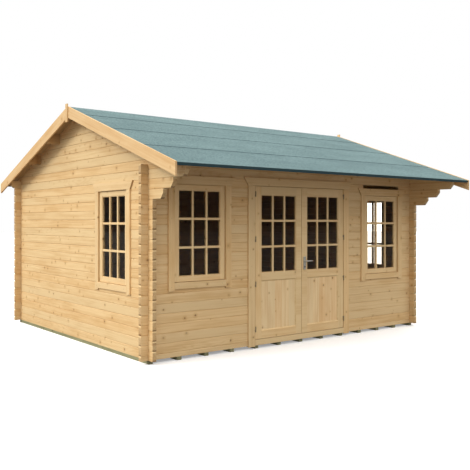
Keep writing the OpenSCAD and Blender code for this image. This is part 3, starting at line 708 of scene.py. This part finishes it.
# sloping mouldings that lead from the face of a leaf down to its panel, mitred at the corners
def addSlopes(piece, x0, x1, z0, z1, outer, inner, width):
    for x, inward in ((x0, 1), (x1, -1)):
        addPrism(piece, [(0, outer), (inward * width, inner), (0, inner)], Vector((x, 0, z0)), xAxis, yAxis,
                 z1 - z0, zAxis, 0, 0)
    for z, inward in ((z0, 1), (z1, -1)):
        addPrism(piece, [(outer, 0), (inner, 0), (inner, inward * width)], Vector((x0, 0, z)), yAxis, zAxis,
                 x1 - x0, xAxis, 0, 0)


for sideName, side in (("left", -1), ("right", 1)):
    body = sideName + "_door"
    low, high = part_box(sideName + "_leaf")
    glassLow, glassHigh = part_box(sideName + "_leaf_glass")
    panelLow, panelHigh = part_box(sideName + "_leaf_panel")
    leaf, bars, panel = startPiece(), startPiece(), startPiece()
    # the free edge is bevelled towards the inside so the two leaves pass
    hingeX, freeX = (low.x, high.x) if side < 0 else (high.x, low.x)
    innerFree = freeX + side * doorSpec["stile"]
    addBoard(leaf, (hingeX, low.y, low.z), (hingeX - side * doorSpec["stile"], high.y, high.z), 2, 0.002)
    outline = [(innerFree, low.y), (freeX, low.y), (freeX + side * doorSpec["bevel"], high.y),
               (innerFree, high.y)]
    addPrism(leaf, outline if side < 0 else outline[::-1], Vector((0, 0, low.z)), xAxis, yAxis,
             high.z - low.z, zAxis)
    x0, x1 = glassLow.x, glassHigh.x
    for z0, z1 in ((low.z, panelLow.z), (panelHigh.z, glassLow.z), (glassHigh.z, high.z)):
        addBoard(leaf, (x0, low.y, z0), (x1, high.y, z1), 0)
    inset = windowSpec["mouldSet"]
    for y0, y1 in ((low.y + inset, glassLow.y), (glassHigh.y, high.y - inset)):
        addMoulding(leaf, x0, x1, glassLow.z, glassHigh.z, y0, y1, doorSpec["mould"])
    addBars(bars, x0, x1, glassLow.z, glassHigh.z, low.y, high.y, (glassLow.y + glassHigh.y) / 2,
            glassHigh.y - glassLow.y)
    step = doorSpec["slopeStep"]
    for outer, inner in ((low.y + step, panelLow.y), (high.y - step, panelHigh.y)):
        addSlopes(leaf, x0, x1, panelLow.z, panelHigh.z, outer, inner, doorSpec["slope"])
    pitch = (x1 - x0) / doorSpec["panelBoards"]
    for i in range(doorSpec["panelBoards"]):
        addBoard(panel, (x0 + pitch * i, panelLow.y, panelLow.z),
                 (x0 + pitch * (i + 1) - doorSpec["panelGap"], panelHigh.y, panelHigh.z), 2, 0.0006)
    finishPiece(leaf, sideName + "LeafFrame", joineryPine, body, [sideName + "_leaf"])
    finishPiece(bars, sideName + "LeafBars", joineryPine, body)
    finishPiece(panel, sideName + "LeafPanelBoards", panelPine, body, [sideName + "_leaf_panel"])


def makeSteelMaterial(name, dark, light, roughLow, roughHigh, metallic, stretch):
    material, tree, shader = newMaterial(name)
    place = addNode(tree, "ShaderNodeTexCoord").outputs["Object"]
    brush = noise(tree, scaled(tree, place, stretch), detail=3.0)
    feed(tree, shader, {"Base Color": mixColor(tree, noise(tree, place, 38.0, 3.0), dark, light),
                        "Roughness": ramp(tree, brush, 0.3, 0.7, roughLow, roughHigh), "Metallic": metallic,
                        "Normal": bumped(tree, brush, 0.15, 0.0002)})
    return material


hingeSteel = makeSteelMaterial("hingeSteel", (0.30, 0.22, 0.13, 1), (0.42, 0.32, 0.20, 1), 0.45, 0.7, 0.3,
                               (120.0, 120.0, 120.0))
handleSteel = makeSteelMaterial("handleSteel", (0.66, 0.65, 0.60, 1), (0.82, 0.81, 0.76, 1), 0.22, 0.4, 0.65,
                                (90.0, 900.0, 900.0))
for name in ("hinge_pins", "left_leaf_knuckles", "right_leaf_knuckles"):
    paint(name, hingeSteel, 0.0006)
lockBrass = makeSteelMaterial("lockBrass", (0.16, 0.13, 0.09, 1), (0.30, 0.25, 0.17, 1), 0.3, 0.5, 0.9,
                              (140.0, 140.0, 140.0))
handleSpec = {"round": 0.012, "chamfer": 0.0018, "collar": 0.0135, "collarOut": 0.005, "neck": 0.0085,
              "collarChamfer": 0.0012, "bend": 0.016, "grip": (0.0095, 0.0062), "tip": (0.0075, 0.0050),
              "gripIn": 0.007, "turnIn": 0.010, "lock": 0.0088, "lockFoot": 0.005, "lockHeight": 0.021,
              "lockDrop": 0.072, "lockOut": 0.0025, "screwIn": 0.012}
plateLow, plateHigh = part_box("handle_plates")
leafLow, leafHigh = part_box("right_leaf")
leverLow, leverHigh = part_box("door_lever")
spindleX = (plateLow.x + plateHigh.x) / 2
spindleZ = (leverLow.z + leverHigh.z) / 2


# a bar swept along a level path; each stop is a place with half its height and half its thickness
def sweepBar(mesh, stops, sides=20):
    circle = [(math.cos(a * math.tau / sides), math.sin(a * math.tau / sides)) for a in range(sides)]
    rings = []
    for index, (place, tall, thick) in enumerate(stops):
        before, after = stops[max(index - 1, 0)][0], stops[min(index + 1, len(stops) - 1)][0]
        along = (after - before).normalized()
        across = along.cross(zAxis)
        rings.append([mesh.verts.new(place + zAxis * (tall * u) + across * (thick * v)) for u, v in circle])
    for ring, following in zip(rings, rings[1:]):
        addSides(mesh, ring, following)
    mesh.faces.new(rings[0][::-1])
    mesh.faces.new(rings[-1])


# metal is smooth round its sides and flat on its faces
def finishMetal(mesh, name, material, body, replaced=()):
    bmesh.ops.recalc_face_normals(mesh, faces=mesh.faces[:])
    for face in mesh.faces:
        face.smooth = len(face.verts) < 5
    finishMesh(mesh, name, material, body, replaced)


# a flat shape with a chamfered front, standing off a face in the direction out (1 or -1 along y)
def addRoundedPlate(mesh, outline, y, out, thickness, chamfer):
    own = bmesh.new()
    back = [own.verts.new((x, y, z)) for x, z in outline]
    edge = [own.verts.new((x, y + out * (thickness - chamfer), z)) for x, z in outline]
    middleX, middleZ = (sum(part) / len(outline) for part in zip(*outline))
    face = []
    for x, z in outline:
        toMiddle = Vector((middleX - x, 0, middleZ - z)).normalized()
        face.append(own.verts.new(Vector((x, y + out * thickness, z)) + toMiddle * chamfer))
    addSides(own, back, edge)
    addSides(own, edge, face)
    own.faces.new(face)
    own.faces.new(back[::-1])
    joinInto(mesh, own)


def roundedOutline(x0, x1, z0, z1, radius, steps=6):
    points = []
    for cx, cz, start in ((x1 - radius, z1 - radius, 0), (x0 + radius, z1 - radius, 1),
                          (x0 + radius, z0 + radius, 2), (x1 - radius, z0 + radius, 3)):
        for i in range(steps + 1):
            a = (start + i / steps) * math.pi / 2
            points.append((cx + radius * math.cos(a), cz + radius * math.sin(a)))
    return points


plates, locks, plateScrews, lever = (bmesh.new() for i in range(4))
spec = handleSpec
thickness = leafLow.y - plateLow.y
collar = [(spindleX + spec["collar"] * math.cos(a * math.tau / 24),
           spindleZ + spec["collar"] * math.sin(a * math.tau / 24)) for a in range(24)]
for face, out, outer in ((leafLow.y, -1, leverLow.y), (leafHigh.y, 1, leverHigh.y)):
    addRoundedPlate(plates, roundedOutline(plateLow.x, plateHigh.x, plateLow.z, plateHigh.z, spec["round"]),
                    face, out, thickness, spec["chamfer"])
    surface = face + out * thickness
    addRoundedPlate(plates, collar, surface, out, spec["collarOut"], spec["collarChamfer"])
    # a lock cylinder: a round with a narrower foot
    lockZ = spindleZ - spec["lockDrop"]
    foot = [(spindleX + side * spec["lockFoot"], lockZ - spec["lockHeight"]) for side in (-1, 1)]
    top = [(spindleX + spec["lock"] * math.cos(a), lockZ + spec["lock"] * math.sin(a))
           for a in [math.radians(-50 + 280 * i / 18) for i in range(19)]]
    addRoundedPlate(locks, top + foot, surface, out, spec["lockOut"], 0.0005)
    for z in (plateLow.z + spec["screwIn"], plateHigh.z - spec["screwIn"]):
        addScrew(plateScrews, Vector((spindleX, surface, z)), yAxis * out)
    # the grip leaves the spindle, bends, and turns in a little at its end
    neck, bend, grip = spec["neck"], spec["bend"], outer - out * spec["gripIn"]
    stops = [(Vector((spindleX, y, spindleZ)), neck, neck) for y in (surface, grip - out * bend)]
    for i in range(1, 7):
        a = i / 6 * math.pi / 2
        place = Vector((spindleX + bend * (1 - math.cos(a)), grip - out * bend * (1 - math.sin(a)), spindleZ))
        stops.append([place] + [neck + (half - neck) * i / 6 for half in spec["grip"]])
    bendEnd, gripEnd = spindleX + bend, leverHigh.x - 0.001
    for part in (0.25, 0.5, 0.72, 0.86, 0.95, 1.0):
        turnIn = spec["turnIn"] * max(0, (part - 0.6) / 0.4) ** 2
        place = Vector((bendEnd + (gripEnd - bendEnd) * part, grip - out * turnIn, spindleZ))
        rounding = 0.6 if part == 1.0 else 1.0
        stops.append([place] + [(a + (b - a) * part) * rounding for a, b in zip(spec["grip"], spec["tip"])])
    sweepBar(lever, stops)
finishMetal(plates, "handlePlates", handleSteel, "right_door", ["handle_plates"])
finishMetal(locks, "lockCylinders", lockBrass, "right_door")
finishMetal(plateScrews, "plateScrews", screwSteel, "right_door")
finishMetal(lever, "leverHandle", handleSteel, "lever", ["door_lever"])
print("stage: doors built")

stageSpec = {"floorColor": (0.84, 0.84, 0.83, 1), "floorShade": (0.80, 0.80, 0.79, 1), "floorBounce": 0.19,
             "floorMirrored": 0.03, "floorGlow": 0.30, "horizon": 0.76, "zenith": 2.1, "mirroredLow": 0.02,
             "mirroredHigh": 1.25, "through": 2.1, "sun": (1.0, -0.28, -0.60), "sunStrength": 1.55,
             "sunAngle": 22}
bpy.context.scene.view_settings.view_transform = "Standard"


# 1 for what is seen directly or through glass, 0 for light on its way between surfaces
def seenPlainly(tree, path):
    bounces = calc(tree, "ADD", path["Diffuse Depth"], path["Glossy Depth"])
    view = calc(tree, "MAXIMUM", path["Is Camera Ray"], path["Is Transmission Ray"])
    return calc(tree, "MULTIPLY", calc(tree, "LESS_THAN", bounces, 0.5), view)


def makeFloorMaterial():
    spec = stageSpec
    material, tree, shader = newMaterial("paleFloor")
    cloud = noise(tree, addNode(tree, "ShaderNodeTexCoord").outputs["Object"], 0.4)
    base = mixColor(tree, cloud, spec["floorColor"], spec["floorShade"])
    # seen directly it is pale, but it throws little light up under the eaves
    path = addNode(tree, "ShaderNodeLightPath").outputs
    seen = seenPlainly(tree, path)
    low = calc(tree, "MULTIPLY_ADD", path["Is Glossy Ray"], spec["floorMirrored"] - spec["floorBounce"],
               spec["floorBounce"])
    base = mixColor(tree, seen, together(tree, low, low, low, "Color"), base)
    feed(tree, shader, {"Base Color": base, "Roughness": 0.9, "Emission Color": (1, 1, 1, 1),
                        "Emission Strength": calc(tree, "MULTIPLY", seen, spec["floorGlow"])})
    return material


bpy.ops.mesh.primitive_plane_add(size=160)
ground = bpy.context.object
ground.name = "paleGround"
ground.data.materials.append(makeFloorMaterial())

world = bpy.data.worlds.new("softSky")
bpy.context.scene.world = world
world.use_nodes = True
skyTree = world.node_tree
skyTree.nodes.clear()
# light comes mostly from above; seen directly or through glass the backdrop is plain white
upward = apart(skyTree, addNode(skyTree, "ShaderNodeTexCoord").outputs["Generated"])[2]
skyPath = addNode(skyTree, "ShaderNodeLightPath").outputs
glow = ramp(skyTree, upward, 0.0, 1.0, stageSpec["horizon"], stageSpec["zenith"])
mirrored = ramp(skyTree, upward, 0.05, 0.8, stageSpec["mirroredLow"], stageSpec["mirroredHigh"])
glow = mixColor(skyTree, skyPath["Is Glossy Ray"], glow, mirrored)
glow = mixColor(skyTree, seenPlainly(skyTree, skyPath), glow, (1, 1, 1, 1))
# glass takes some light away, so what comes through it is stronger
through = calc(skyTree, "MULTIPLY_ADD", skyPath["Is Transmission Ray"], stageSpec["through"], 1.0)
sky = addNode(skyTree, "ShaderNodeBackground", {"Color": glow, "Strength": through})
addNode(skyTree, "ShaderNodeOutputWorld", {"Surface": sky.outputs[0]})

sun = bpy.data.lights.new("keyLight", "SUN")
sun.energy, sun.angle = stageSpec["sunStrength"], math.radians(stageSpec["sunAngle"])
sunObject = bpy.data.objects.new("keyLight", sun)
bpy.context.scene.collection.objects.link(sunObject)
sunObject.rotation_euler = Vector(stageSpec["sun"]).to_track_quat("-Z", "Y").to_euler()

cameraSpec = {"place": (-6.199, -8.311, 1.619), "heading": 37.64, "lens": 51.14, "shiftX": 0.002,
              "shiftY": -0.029}
cameraData = bpy.data.cameras.new("camera")
cameraData.lens, cameraData.sensor_width = cameraSpec["lens"], 36
cameraData.shift_x, cameraData.shift_y = cameraSpec["shiftX"], cameraSpec["shiftY"]
cameraData.clip_end = 300
camera = bpy.data.objects.new("camera", cameraData)
bpy.context.scene.collection.objects.link(camera)
camera.location = cameraSpec["place"]
camera.rotation_euler = (math.radians(90), 0, -math.radians(cameraSpec["heading"]))
bpy.context.scene.camera = camera
print("stage: camera and lights set")
